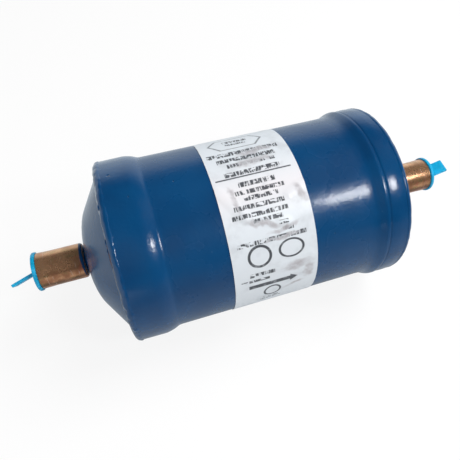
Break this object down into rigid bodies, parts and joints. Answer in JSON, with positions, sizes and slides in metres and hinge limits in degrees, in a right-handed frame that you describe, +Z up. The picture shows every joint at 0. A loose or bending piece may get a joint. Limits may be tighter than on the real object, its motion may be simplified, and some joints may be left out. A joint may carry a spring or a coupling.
{
  "type": "filter drier",
  "caption": "Cylindrical refrigerant filter drier: steel barrel with expanded end rings, conical welded caps, copper solder sockets, pull-tab plugs and a blank wrap label.",
  "frame": {"origin": "on the axis of the barrel, midway between the two ends of the steel tube", "axes": "+X along the axis in the direction of flow, towards the outlet; +Z up as it lies on its two end rings"},
  "size_m": [0.1878, 0.0712, 0.0712],
  "materials": {
    "body_paint": "gloss deep blue enamel",
    "braze_paint": "gloss deep blue enamel over braze",
    "copper": "copper, tarnished by brazing heat",
    "plug_plastic": "soft cyan plastic",
    "label_film": "white label, satin",
    "bare_steel": "pressed sheet",
    "wire_cloth": "fine woven wire",
    "spring_steel": "drawn wire",
    "felt": "needled felt",
    "desiccant": "matt moulded block"
  },
  "bodies": {
    "drier": {"barrel": "body_paint", "inlet_cap": "body_paint", "outlet_cap": "body_paint", "inlet_weld": "body_paint", "outlet_weld": "body_paint", "inlet_fitting": "copper", "outlet_fitting": "copper", "inlet_braze": "braze_paint", "outlet_braze": "braze_paint", "label": "label_film", "outlet_plate": "bare_steel", "outlet_screen": "wire_cloth", "filter_pad": "felt", "core": "desiccant", "inlet_pad": "felt", "inlet_screen": "wire_cloth", "pressure_plate": "bare_steel", "spring": "spring_steel"},
    "inlet_plug": {"inlet_plug": "plug_plastic"},
    "outlet_plug": {"outlet_plug": "plug_plastic"}
  },
  "joints": [
    {"name": "inlet_plug_pull", "type": "slide", "parent": "drier", "child": "inlet_plug", "axis": [-1, 0, 0], "range_m": [0, 0.06]},
    {"name": "outlet_plug_pull", "type": "slide", "parent": "drier", "child": "outlet_plug", "axis": [1, 0, 0], "range_m": [0, 0.06]}
  ]
}
